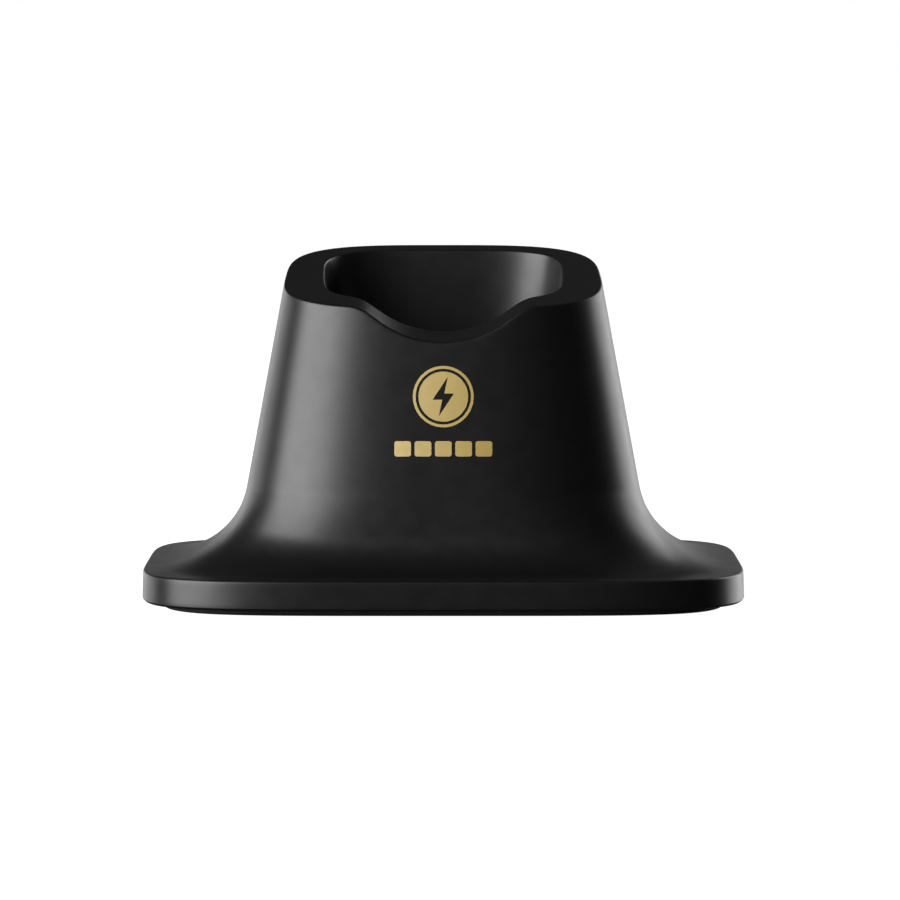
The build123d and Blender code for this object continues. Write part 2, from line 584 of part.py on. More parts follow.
# ---- usb_socket_core: the moulding that closes the shell's inner end and carries the tongue
with BuildPart() as usb_socket_core:
    with BuildSketch(inlet_plane.offset(-SOCKET_LENGTH)):
        RectangleRounded(
            SOCKET_WIDTH - 2 * SHELL_THICK - 0.04,
            SOCKET_HEIGHT - 2 * SHELL_THICK - 0.04,
            SOCKET_HEIGHT / 2 - SHELL_THICK - 0.04,
        )
    extrude(amount=1.8)
    with BuildSketch(inlet_plane.offset(-SOCKET_LENGTH)):
        Rectangle(6.7, 0.7)
    extrude(amount=SOCKET_LENGTH - 0.7)
usb_socket_core.part.label = "usb_socket_core"
export_step(usb_socket_core.part, "parts/usb_socket_core.step")

# ---- parts on the board
with BuildPart() as charge_controller:
    with BuildSketch(Plane.XY.offset(BOARD_TOP + 0.15)):
        with Locations(CONTROLLER):
            Rectangle(3.9, 4.9)
    extrude(amount=1.35)
    chamfer(charge_controller.edges().group_by(Axis.Z)[-1], 0.2)
    with BuildSketch(Plane.XY.offset(BOARD_TOP)):
        with Locations(CONTROLLER):
            with GridLocations(4.9, 1.27, 2, 4):
                Rectangle(1.1, 0.4)
    extrude(amount=0.2)
charge_controller.part.label = "charge_controller"
export_step(charge_controller.part, "parts/charge_controller.step")

with BuildPart() as power_inductor:
    with BuildSketch(Plane.XY.offset(BOARD_TOP)):
        with Locations(INDUCTOR):
            RectangleRounded(6.0, 6.0, 1.2)
    extrude(amount=0.6)
    with BuildSketch(Plane.XY.offset(BOARD_TOP)):
        with Locations(INDUCTOR):
            Circle(2.3)
    extrude(amount=2.4)
    with BuildSketch(Plane.XY.offset(BOARD_TOP + 2.3)):
        with Locations(INDUCTOR):
            RectangleRounded(6.0, 6.0, 1.2)
    extrude(amount=0.7)
power_inductor.part.label = "power_inductor"
export_step(power_inductor.part, "parts/power_inductor.step")

with BuildPart() as board_capacitors:
    with BuildSketch(Plane.XY.offset(BOARD_TOP)):
        with Locations(*CAPACITORS):
            Rectangle(5.2, 5.2)
    extrude(amount=0.8)
    with BuildSketch(Plane.XY.offset(BOARD_TOP + 0.8)):
        with Locations(*CAPACITORS):
            Circle(2.5)
    extrude(amount=4.8)
    fillet(board_capacitors.edges().group_by(Axis.Z)[-1], 0.4)
board_capacitors.part.label = "board_capacitors"
export_step(board_capacitors.part, "parts/board_capacitors.step")

with BuildPart() as board_fuse:
    with BuildSketch(Plane.XY.offset(BOARD_TOP)):
        with Locations(FUSE):
            Rectangle(4.5, 3.2)
    extrude(amount=0.9)
    chamfer(board_fuse.edges().group_by(Axis.Z)[-1], 0.15)
board_fuse.part.label = "board_fuse"
export_step(board_fuse.part, "parts/board_fuse.step")

with BuildPart() as board_chips:
    with BuildSketch(Plane.XY.offset(BOARD_TOP)):
        with Locations(*CHIPS):
            Rectangle(0.8, 1.6)
    extrude(amount=0.6)
board_chips.part.label = "board_chips"
export_step(board_chips.part, "parts/board_chips.step")

# ---- board_header and lead_plug
with BuildPart() as board_header:
    with BuildSketch(Plane.XY.offset(BOARD_TOP)):
        with Locations((0, HEADER_Y)):
            Rectangle(*HEADER_SIZE)
    extrude(amount=HEADER_HEIGHT)
    with BuildSketch(Plane((0, HEADER_MOUTH, PLUG_Z), x_dir=(1, 0, 0), z_dir=(0, -1, 0))):
        Rectangle(HEADER_SIZE[0] - 1.4, HEADER_HEIGHT - 1.2)
    extrude(amount=-HEADER_SIZE[1] + 1.2, mode=Mode.SUBTRACT)
board_header.part.label = "board_header"
export_step(board_header.part, "parts/board_header.step")

with BuildPart() as lead_plug:
    with BuildSketch(Plane((0, HEADER_MOUTH - 1.2, PLUG_Z), x_dir=(1, 0, 0), z_dir=(0, -1, 0))):
        Rectangle(HEADER_SIZE[0] - 1.6, HEADER_HEIGHT - 1.4)
    extrude(amount=-PLUG_LENGTH)
    chamfer(lead_plug.edges().group_by(Axis.Y)[0], 0.3)
lead_plug.part.label = "lead_plug"
export_step(lead_plug.part, "parts/lead_plug.step")

# ---- leads: from the plug, round to the solder tails under the carrier
plug_back = HEADER_MOUTH - 1.2
for name, side in (("negative_lead", -1), ("positive_lead", 1)):
    start = (side * CONTACT_X, TAIL_THICK / 2, LEAD_Z)
    route = [
        start,
        (side * CONTACT_X, LEAD_BEND_Y, LEAD_Z),
        (side * PLUG_PITCH / 2, plug_back - 3.4, PLUG_Z),
        (side * PLUG_PITCH / 2, plug_back, PLUG_Z),
    ]
    with BuildPart() as lead:
        with BuildLine():
            run = FilletPolyline(*route, radius=[LEAD_BEND, LEAD_BEND])
        with BuildSketch(Plane(start, x_dir=(1, 0, 0), z_dir=(0, 1, 0))):
            Circle(LEAD_RADIUS)
        sweep()
    lead.part.label = name
    export_step(lead.part, "parts/" + name + ".step")

# ---- screws
base_screw = screw(*BASE_SCREW)
flange_screw = screw(*FLANGE_SCREW)
small_screw = screw(*SMALL_SCREW)
board_screw = screw(*BOARD_SCREW)
HEAD_DOWN = (180, 0, 0)

with BuildPart() as housing_screws:
    for x, y in SCREW_PLACES:
        with Locations(Location((x, y, HEAD_SEAT), HEAD_DOWN)):
            add(base_screw)
housing_screws.part.label = "housing_screws"
export_step(housing_screws.part, "parts/housing_screws.step")

with BuildPart() as ballast_screws:
    for x, y in BALLAST_HOLES:
        with Locations((x, y, PLATE_TOP + BALLAST[2])):
            add(flange_screw)
ballast_screws.part.label = "ballast_screws"
export_step(ballast_screws.part, "parts/ballast_screws.step")

with BuildPart() as board_screws:
    for x, y in BOARD_SCREWS:
        with Locations((x, y, BOARD_TOP)):
            add(board_screw)
board_screws.part.label = "board_screws"
export_step(board_screws.part, "parts/board_screws.step")

with BuildPart() as carrier_screws:
    for x in (-EAR_X, EAR_X):
        with Locations(Location((x, 0, EAR_TOP - EAR_THICK), HEAD_DOWN)):
            add(small_screw)
carrier_screws.part.label = "carrier_screws"
export_step(carrier_screws.part, "parts/carrier_screws.step")

with BuildPart() as retainer_screws:
    for x in (-RETAINER_SCREW_X, RETAINER_SCREW_X):
        with Locations(Location((x, 0, CARRIER_BOTTOM - RETAINER_THICK), HEAD_DOWN)):
            add(small_screw)
retainer_screws.part.label = "retainer_screws"
export_step(retainer_screws.part, "parts/retainer_screws.step")

# ---- front_emblem: gold foil, a bolt in a disc over a gauge of five cells
foil_face = FOIL_GAP + FOIL_THICK
foil_outside = tapered(body_section(BAND_TOP, -foil_face), body_section(RIM_HEIGHT, -foil_face))
foil_inside = tapered(body_section(BAND_TOP, -FOIL_GAP), body_section(RIM_HEIGHT, -FOIL_GAP))
with BuildPart() as front_emblem:
    with BuildSketch(Plane((0, -RIM_HALF_Y, 0), x_dir=(1, 0, 0), z_dir=(0, -1, 0))):
        with Locations((0, DISC_Z)):
            Circle(DISC_RADIUS)
            Circle(DISC_RADIUS - 0.55, mode=Mode.SUBTRACT)
            Circle(DISC_RADIUS - 1.1)
        with BuildLine():
            Polyline(*[(x, DISC_Z + y) for x, y in BOLT], close=True)
        make_face(mode=Mode.SUBTRACT)
        with Locations((0, GAUGE_Z)):
            with GridLocations(CELL_PITCH, 1, 5, 1):
                RectangleRounded(CELL_PITCH - 0.7, CELL_HEIGHT, 0.5)
    extrude(amount=BASE_HALF_Y)
    add(foil_outside, mode=Mode.INTERSECT)
    add(foil_inside, mode=Mode.SUBTRACT)
front_emblem.part.label = "front_emblem"
export_step(front_emblem.part, "parts/front_emblem.step")
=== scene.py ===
import json
from math import cos, pi, radians, sin, tan

import bmesh
import bpy
import numpy as np
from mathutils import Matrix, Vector


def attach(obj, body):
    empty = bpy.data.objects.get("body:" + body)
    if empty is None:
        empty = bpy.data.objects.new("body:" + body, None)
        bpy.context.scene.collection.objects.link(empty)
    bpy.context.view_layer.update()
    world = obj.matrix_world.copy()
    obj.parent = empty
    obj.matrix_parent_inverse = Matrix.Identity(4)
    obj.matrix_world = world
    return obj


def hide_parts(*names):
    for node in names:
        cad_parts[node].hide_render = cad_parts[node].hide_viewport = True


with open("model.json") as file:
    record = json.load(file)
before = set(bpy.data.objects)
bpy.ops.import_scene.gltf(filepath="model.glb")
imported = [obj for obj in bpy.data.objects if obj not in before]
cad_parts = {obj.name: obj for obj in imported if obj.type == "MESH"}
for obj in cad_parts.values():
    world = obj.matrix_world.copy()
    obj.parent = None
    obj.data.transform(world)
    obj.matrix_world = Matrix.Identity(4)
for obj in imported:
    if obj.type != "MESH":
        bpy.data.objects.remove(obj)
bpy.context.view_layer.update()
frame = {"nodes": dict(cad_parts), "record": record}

# A charging stand for a cordless hair clipper, standing on a pale studio floor.
# The shell is rebuilt here from the same driving dimensions as the CAD model, as one fine closed
# mesh, because its long soft highlights show every facet. The shell's lengths are in millimetres
# and become metres as its mesh is made. Materials, lights, floor and camera are in metres.
MM = 0.001

# ---- Outer form: half-widths at the top edge of the band and in the rim plane, and the powers
# of the superellipses that they span
BASE_X, BASE_Y, BASE_POWER = 60.0, 47.0, 5.0
RIM_X, RIM_Y, RIM_POWER = 31.8, 25.0, 3.35
RIM_HEIGHT, RIM_TILT = 64.9, radians(12.2)
BODY_DRAFT_X, BODY_DRAFT_Y = radians(10.5), radians(9.5)
FLARE_RADIUS_X, FLARE_RADIUS_Y = 19.0, 9.5
TOP_SLOPE = radians(2.1)
BAND_BOTTOM, BAND_TOP = 1.3, 7.1
BAND_DRAFT, BAND_BEVEL, BEVEL_ROUND = 0.15, 0.35, 0.3
EDGE_ROUND = 0.5

# ---- Well, its floor with the opening for the contact carrier, and the scoop in the front lip
WELL_X, WELL_Y, WELL_POWER = 24.05, 19.1, 3.9
WELL_DRAFT_X, WELL_DRAFT_Y = tan(radians(7.0)), tan(radians(5.0))
WELL_FLOOR, WELL_CORNER = 22.0, 3.0
OPENING_X, OPENING_Y, OPENING_CORNER = 11.0, 4.5, 1.6
SCOOP_DEPTH, SCOOP_SLOPE, SCOOP_RADIUS, SCOOP_LIP = 6.35, radians(33.0), 22.6, 7.5

# ---- Walls: of the band and body, around the well, and under the rim
WALL, WELL_WALL, CEILING_WALL = 2.4, 2.2, 2.6

# ---- Power inlet: its slot, and how far the cutter reaches in and out from the back of the base
INLET_WIDTH, INLET_HEIGHT, INLET_Z = 9.34, 3.66, 4.4
INLET_IN, INLET_OUT, INLET_STEPS = 9.0, 3.0, 16

# ---- Fineness: points around the axis, then steps along each run of the cross-section
AROUND = 576
FLOOR_STEPS, FLOOR_CORNER_STEPS, WELL_STEPS = 6, 8, 40
RIM_STEPS, RIM_EDGE_STEPS = 8, 5
BODY_STEPS, FLARE_STEPS, TOP_STEPS = 36, 56, 5
BAND_STEPS, BAND_EDGE_STEPS, BEVEL_STEPS = 6, 6, 3
INSIDE_STEPS, INSIDE_SHORT_STEPS, CEILING_STEPS, UNDERSIDE_STEPS = 16, 3, 2, 4
LIP_ROUNDS, HALVINGS = 30, 50
# How far along a run its direction at a corner is taken
EDGE_PROBE, FLOOR_PROBE = 1.0, 6.0
# Edges that turn by more than this stay crisp
CREASE = radians(28)

# ---- Materials
PLASTIC_IOR = 1.5
NOISE_LOW, NOISE_HIGH = 0.3, 0.7
FOIL_HALF_WIDTH = 0.010

# ---- Stage
LIGHT_DISTANCE, LIGHT_AIM = 1.0, Vector((0, 0, 0.035))
SOFTBOXES = (
    # name, azimuth, elevation, width, height, radiance
    ("key_softbox", -59, 17, 1.1, 0.95, 8.0),
    ("right_rim_softbox", 135, 10, 0.8, 0.95, 2.5),
    ("left_rim_softbox", -140, 0, 0.8, 0.45, 1.4),
    ("back_softbox", 180, 0, 1.0, 0.3, 0.6),
)
# The floor lies just under the mat, so that the two faces do not share a plane.
FLOOR_HALF, FLOOR_Z, FLOOR_GREY = 4.0, -0.0001, 0.3
ROOM_STRENGTH, PAPER_STRENGTH = 0.04, 1.0
CAMERA_LENS, CAMERA_SENSOR = 209.6, 36.0
CAMERA_NEAR, CAMERA_FAR = 0.05, 50.0
CAMERA_AT, CAMERA_AIM = (0, -1.06, 0.1087), Vector((0.00136, 0, 0.02928))


# ---------------------------------------------------------------- shapes shared with the CAD model
ANGLES = 2 * pi * np.arange(AROUND) / AROUND
COS, SIN = np.cos(ANGLES), np.sin(ANGLES)


def outline(half_x, half_y, power):
    """Distance from the axis to |x / half_x| ** power + |y / half_y| ** power = 1, at each angle."""
    return (np.abs(COS / half_x) ** power + np.abs(SIN / half_y) ** power) ** (-1 / power)


def body(z, inset=0.0):
    """Radius of the tapered body at height z."""
    half_x = RIM_X + (RIM_HEIGHT - z) * tan(BODY_DRAFT_X) - inset
    half_y = RIM_Y + (RIM_HEIGHT - z) * tan(BODY_DRAFT_Y) - inset
    return outline(half_x, half_y, RIM_POWER)


def well(z, outset=0.0):
    """Radius of the well at height z."""
    half_x = WELL_X - (RIM_HEIGHT - z) * WELL_DRAFT_X + outset
    half_y = WELL_Y - (RIM_HEIGHT - z) * WELL_DRAFT_Y + outset
    return outline(half_x, half_y, WELL_POWER)


def flare_arc(wall, draft, edge, edge_z, radius):
    """Centre of the arc by which a drafted wall runs out onto the low top."""
    on_wall = cos(draft) * wall + sin(draft) * RIM_HEIGHT + radius
    on_top = sin(TOP_SLOPE) * edge + cos(TOP_SLOPE) * edge_z + radius
    turn = cos(draft + TOP_SLOPE)
    centre = (on_wall * cos(TOP_SLOPE) - on_top * sin(draft)) / turn
    return centre, (on_top * cos(draft) - on_wall * sin(TOP_SLOPE)) / turn


def flare_half(z, wall, draft, edge, edge_z, radius):
    """Half-width at height z of that wall, arc and top."""
    centre, centre_z = flare_arc(wall, draft, edge, edge_z, radius)
    if z > centre_z - radius * sin(draft):
        return wall + (RIM_HEIGHT - z) * tan(draft)
    if z < centre_z - radius * cos(TOP_SLOPE):
        return edge - (z - edge_z) / tan(TOP_SLOPE)
    return centre - (radius**2 - (centre_z - z) ** 2) ** 0.5


def flare_rings(wall_inset, edge_inset, edge_z, steps):
    """Rings of the flare, from the body down: wide at the sides, tight at the front and back."""
    side_radius, front_radius = FLARE_RADIUS_X + edge_inset, FLARE_RADIUS_Y + edge_inset
    side = (RIM_X - wall_inset, BODY_DRAFT_X, BASE_X - edge_inset, edge_z, side_radius)
    front = (RIM_Y - wall_inset, BODY_DRAFT_Y, BASE_Y - edge_inset, edge_z, front_radius)
    centre_z = flare_arc(*side)[1]
    rings = []
    for step in range(steps + 1):
        share = step / steps
        angle = BODY_DRAFT_X + share * (pi / 2 - TOP_SLOPE - BODY_DRAFT_X)
        z = centre_z - side_radius * sin(angle)
        power = RIM_POWER + share * (BASE_POWER - RIM_POWER)
        radius = outline(flare_half(z, *side), flare_half(z, *front), power)
        rings.append(np.array([radius, z + np.zeros(AROUND)]))
    return rings


def scoop_depth(x, drop):
    """Height of the scooped lip over the rim plane at x, when the whole lip is lowered by drop."""
    bottom_radius, lip_radius = SCOOP_RADIUS + drop, SCOOP_LIP - drop
    start = SCOOP_RADIUS * sin(SCOOP_SLOPE)
    start_y = SCOOP_RADIUS * (1 - cos(SCOOP_SLOPE)) - SCOOP_DEPTH
    lip_y = -SCOOP_LIP * (1 - cos(SCOOP_SLOPE))
    end = start + (lip_y - start_y) / tan(SCOOP_SLOPE) + SCOOP_LIP * sin(SCOOP_SLOPE)
    low_x = bottom_radius * sin(SCOOP_SLOPE)
    low_y = SCOOP_RADIUS - SCOOP_DEPTH - bottom_radius * cos(SCOOP_SLOPE)
    high_x = end - lip_radius * sin(SCOOP_SLOPE)
    x = np.abs(x)
    valley = SCOOP_RADIUS - SCOOP_DEPTH - np.sqrt(np.maximum(bottom_radius**2 - x**2, 0))
    flank = low_y + (x - low_x) * tan(SCOOP_SLOPE)
    brow = -SCOOP_LIP + np.sqrt(np.maximum(lip_radius**2 - (end - x) ** 2, 0))
    depth = np.where(x < low_x, valley, np.where(x < high_x, flank, brow))
    return np.where(x < end, depth, -drop)


def lip(r, drop=0.0):
    """Height of the tilted rim, with its scoop, above the points at radius r."""
    x, y = r * COS, r * SIN
    level = np.where(y < 0, scoop_depth(x, drop), -drop)
    return RIM_HEIGHT + (level + y * sin(RIM_TILT)) / cos(RIM_TILT)


def meet_lip(radius_at, drop=0.0):
    """Where a wall, given as radius of height, runs into the lip."""
    z = np.full(AROUND, RIM_HEIGHT)
    for _ in range(LIP_ROUNDS):
        z = (z + lip(radius_at(z), drop)) / 2
    return radius_at(z), z


def opening_radius(half_x, half_y, corner):
    """Distance from the axis to a round-cornered rectangle, at each angle, by halving."""
    low, high = np.zeros(AROUND), np.full(AROUND, half_x + half_y)
    for _ in range(HALVINGS):
        r = (low + high) / 2
        qx = np.abs(r * COS) - half_x + corner
        qy = np.abs(r * SIN) - half_y + corner
        distance = np.hypot(np.maximum(qx, 0), np.maximum(qy, 0)) - corner
        distance += np.minimum(np.maximum(qx, qy), 0)
        low, high = np.where(distance < 0, r, low), np.where(distance < 0, high, r)
    return (low + high) / 2


# ---------------------------------------------------------------- runs of rings
def bend(before, corner, after, steps):
    """Rings of a round corner: the circle arc tangent to both runs, which meet at corner."""
    p0, p1, p2 = (np.array(p) for p in (before, corner, after))
    a, b = p0 - p1, p2 - p1
    cosine = (a * b).sum(0) / np.sqrt((a * a).sum(0) * (b * b).sum(0))
    weight = np.sqrt((1 - np.clip(cosine, -1, 1)) / 2)
    rings = []
    for t in np.linspace(0, 1, steps + 1):
        share = (1 - t) ** 2 + 2 * weight * t * (1 - t) + t**2
        rings.append(((1 - t) ** 2 * p0 + 2 * weight * t * (1 - t) * p1 + t**2 * p2) / share)
    return rings


def unit(vector):
    return vector / np.sqrt((vector * vector).sum(0))


def rounded_corner(corner, toward_before, toward_after, radius, steps):
    """Arc rings of that radius at a corner between two points that lie on its two runs."""
    first, last = unit(toward_before - corner), unit(toward_after - corner)
    cosine = np.clip((first * last).sum(0), -1, 1)
    length = radius / np.tan(np.arccos(cosine) / 2)
    return bend(corner + first * length, corner, corner + last * length, steps)


def ramp(first, last, steps):
    """Rings strictly between two rings."""
    return [first + (last - first) * k / steps for k in range(1, steps)]


def wall_rings(radius_at, z_from, z_to, steps):
    """Rings on a wall, both ends included."""
    rings = []
    for k in range(steps + 1):
        z = z_from + (z_to - z_from) * k / steps
        rings.append(np.array([radius_at(z), z + np.zeros(AROUND)]))
    return rings


def lip_rings(r_from, r_to, drop, steps):
    """Rings on the lip, both ends included."""
    rings = []
    for k in range(steps + 1):
        r = r_from + (r_to - r_from) * k / steps
        rings.append(np.array([r, lip(r, drop)]))
    return rings


# ---------------------------------------------------------------- mesh helpers
def in_scene(name, data):
    """A new object that holds the data, linked into the scene."""
    thing = bpy.data.objects.new(name, data)
    bpy.context.scene.collection.objects.link(thing)
    return thing


def new_mesh(name, vertices, faces):
    """A mesh from points in millimetres."""
    mesh = bpy.data.meshes.new(name)
    mesh.from_pydata([tuple(np.asarray(v) * MM) for v in vertices], [], faces)
    return mesh


def new_piece(name, vertices, faces, body_name, material):
    """A piece of the visual model from points in millimetres, riding on a CAD body."""
    mesh = new_mesh(name, vertices, faces)
    mesh.validate()
    piece = in_scene(name, mesh)
    mesh.materials.append(material)
    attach(piece, body_name)
    return piece


def face_outward(mesh, crease=None):
    """Turns all faces outward. With a crease angle, it also smooths all edges that turn less."""
    work = bmesh.new()
    work.from_mesh(mesh)
    bmesh.ops.recalc_face_normals(work, faces=work.faces)
    if crease is not None:
        for face in work.faces:
            face.smooth = True
        for edge in work.edges:
            if len(edge.link_faces) == 2:
                edge.smooth = edge.calc_face_angle(0) < crease
    work.to_mesh(mesh)
    work.free()
    mesh.update()


def cut(piece, cutter):
    """Cuts one mesh from another and removes the cutter."""
    modifier = piece.modifiers.new("cut", "BOOLEAN")
    modifier.operation = "DIFFERENCE"
    modifier.solver = "EXACT"
    modifier.object = cutter
    bpy.context.view_layer.update()
    result = bpy.data.meshes.new_from_object(
        piece.evaluated_get(bpy.context.evaluated_depsgraph_get())
    )
    piece.modifiers.clear()
    piece.data = result
    bpy.data.objects.remove(cutter)


# ---------------------------------------------------------------- materials
def shader(name):
    """A new node material and its principled shader."""
    material = bpy.data.materials.new(name)
    material.use_nodes = True
    nodes, links = material.node_tree.nodes, material.node_tree.links
    return material, nodes, links, nodes["Principled BSDF"]


def noise(nodes, links, scale, detail=4.0, stretch=(1, 1, 1)):
    """A noise over the object's own coordinates, in features per metre."""
    place = nodes.new("ShaderNodeTexCoord")
    mapping = nodes.new("ShaderNodeMapping")
    mapping.inputs["Scale"].default_value = stretch
    texture = nodes.new("ShaderNodeTexNoise")
    texture.inputs["Scale"].default_value = scale
    texture.inputs["Detail"].default_value = detail
    links.new(place.outputs["Object"], mapping.inputs["Vector"])
    links.new(mapping.outputs["Vector"], texture.inputs["Vector"])
    return texture.outputs["Fac"]


def spread(nodes, links, value, low, high):
    """Maps a noise's usual span to low and high."""
    span = nodes.new("ShaderNodeMapRange")
    span.inputs["From Min"].default_value = NOISE_LOW
    span.inputs["From Max"].default_value = NOISE_HIGH
    span.inputs["To Min"].default_value = low
    span.inputs["To Max"].default_value = high
    links.new(value, span.inputs["Value"])
    return span.outputs["Result"]


def tint(nodes, links, value, first, last):
    """A colour that runs from first to last with the value."""
    mix = nodes.new("ShaderNodeMix")
    mix.data_type = "RGBA"
    mix.inputs["A"].default_value = (*first, 1)
    mix.inputs["B"].default_value = (*last, 1)
    links.new(value, mix.inputs["Factor"])
    return mix.outputs["Result"]


def bumped(nodes, links, principled, height, depth):
    """Relief of the given depth in metres."""
    bump = nodes.new("ShaderNodeBump")
    bump.inputs["Distance"].default_value = depth
    bump.inputs["Strength"].default_value = 1.0
    links.new(height, bump.inputs["Height"])
    links.new(bump.outputs["Normal"], principled.inputs["Normal"])


def moulded(name, dark, light, roughness, grain=9000.0, depth=0.00001):
    """Moulded plastic or rubber: fine spark-eroded grain, and a slow drift of colour and gloss."""
    material, nodes, links, principled = shader(name)
    principled.inputs["IOR"].default_value = PLASTIC_IOR
    drift = noise(nodes, links, 60.0, 3.0)
    links.new(tint(nodes, links, drift, dark, light), principled.inputs["Base Color"])
    rough = spread(nodes, links, noise(nodes, links, 300.0), *roughness)
    links.new(rough, principled.inputs["Roughness"])
    bumped(nodes, links, principled, noise(nodes, links, grain, 2.0), depth)
    return material


def metal(name, dark, light, roughness, stretch=(1, 1, 1), depth=0.000004):
    """Bare or plated metal with fine drawn or rolled marks."""
    material, nodes, links, principled = shader(name)
    principled.inputs["Metallic"].default_value = 1.0
    drift = noise(nodes, links, 400.0, 4.0, stretch)
    links.new(tint(nodes, links, drift, dark, light), principled.inputs["Base Color"])
    rough = spread(nodes, links, noise(nodes, links, 1500.0, 4.0, stretch), *roughness)
    links.new(rough, principled.inputs["Roughness"])
    bumped(nodes, links, principled, noise(nodes, links, 5000.0, 2.0, stretch), depth)
    return material


def gold_foil():
    """Hot-stamped satin foil that pales towards its left edge."""
    material, nodes, links, principled = shader("gold_foil")
    place = nodes.new("ShaderNodeTexCoord")
    axes = nodes.new("ShaderNodeSeparateXYZ")
    across = nodes.new("ShaderNodeMapRange")
    across.inputs["From Min"].default_value = -FOIL_HALF_WIDTH
    across.inputs["From Max"].default_value = FOIL_HALF_WIDTH
    links.new(place.outputs["Object"], axes.inputs["Vector"])
    links.new(axes.outputs["X"], across.inputs["Value"])
    colour = tint(nodes, links, across.outputs["Result"], (0.72, 0.56, 0.25), (0.50, 0.36, 0.10))
    links.new(colour, principled.inputs["Base Color"])
    principled.inputs["Metallic"].default_value = 0.4
    rough = spread(nodes, links, noise(nodes, links, 900.0), 0.36, 0.44)
    links.new(rough, principled.inputs["Roughness"])
    bumped(nodes, links, principled, noise(nodes, links, 5000.0, 2.0), 0.000004)
    return material


# One material for each slot of the record. Colours run from dark to light, then comes the span
# of roughness. After that, plastics give grain and its depth, and metals give the stretch of
# their marks.
MATERIALS = {
    "housing": moulded(
        "satin_black", (0.0018, 0.0018, 0.0019), (0.0026, 0.0026, 0.0028), (0.36, 0.40), 7000.0, 0.000006
    ),
    "base_plastic": moulded("base_black", (0.010, 0.010, 0.011), (0.014, 0.014, 0.015), (0.5, 0.6)),
    "foot_rubber": moulded(
        "mat_rubber", (0.003, 0.003, 0.003), (0.005, 0.005, 0.005), (0.8, 0.9), 5000.0, 0.00003
    ),
    "gold_foil": gold_foil(),
    "ballast_steel": metal("zinc_sheet", (0.42, 0.43, 0.45), (0.58, 0.58, 0.60), (0.3, 0.45), (1, 12, 1)),
    "screw_black": metal("black_oxide", (0.035, 0.035, 0.037), (0.06, 0.06, 0.06), (0.35, 0.5)),
    "screw_steel": metal("zinc_screw", (0.55, 0.55, 0.57), (0.7, 0.7, 0.7), (0.2, 0.35)),
    "carrier_plastic": moulded(
        "carrier_black", (0.012, 0.012, 0.013), (0.018, 0.018, 0.019), (0.45, 0.55)
    ),
    "contact_gold": metal("gold_plate", (0.78, 0.56, 0.24), (0.86, 0.65, 0.31), (0.12, 0.2)),
    "spring_steel": metal("spring_wire", (0.5, 0.5, 0.52), (0.66, 0.66, 0.67), (0.2, 0.3)),
    "terminal_brass": metal("stamped_brass", (0.62, 0.44, 0.19), (0.76, 0.57, 0.28), (0.25, 0.4)),
    "board_green": moulded(
        "solder_mask", (0.012, 0.12, 0.05), (0.022, 0.17, 0.075), (0.2, 0.3), 1200.0, 0.00002
    ),
    "socket_steel": metal("socket_steel", (0.5, 0.5, 0.51), (0.64, 0.64, 0.65), (0.25, 0.38), (8, 1, 1)),
    "socket_plastic": moulded("socket_black", (0.014, 0.014, 0.015), (0.02, 0.02, 0.021), (0.4, 0.5)),
    "chip_black": moulded("epoxy_black", (0.016, 0.016, 0.017), (0.024, 0.024, 0.024), (0.5, 0.65)),
    "ferrite": moulded(
        "ferrite", (0.07, 0.07, 0.075), (0.11, 0.11, 0.115), (0.6, 0.75), 3000.0, 0.00003
    ),
    "capacitor_can": metal("drawn_can", (0.62, 0.62, 0.64), (0.76, 0.76, 0.77), (0.18, 0.3), (1, 1, 10)),
    "fuse_yellow": moulded("fuse_epoxy", (0.5, 0.34, 0.05), (0.64, 0.46, 0.1), (0.35, 0.5)),
    "chip_ceramic": moulded("fired_ceramic", (0.38, 0.27, 0.16), (0.5, 0.37, 0.24), (0.4, 0.55)),
    "connector_white": moulded("nylon_white", (0.66, 0.64, 0.58), (0.76, 0.74, 0.69), (0.4, 0.5)),
    "lead_red": moulded("lead_red", (0.42, 0.015, 0.01), (0.52, 0.025, 0.018), (0.3, 0.4)),
    "lead_black": moulded("lead_black", (0.014, 0.014, 0.014), (0.022, 0.022, 0.022), (0.3, 0.4)),
}


# ---------------------------------------------------------------- the shell
def inner_body(z):
    """Radius at height z of the inside of the body."""
    return body(z, WALL / cos(BODY_DRAFT_X))


def well_skin(z):
    """Radius at height z of the outside of the well, seen from within the shell."""
    return well(z, WELL_WALL)


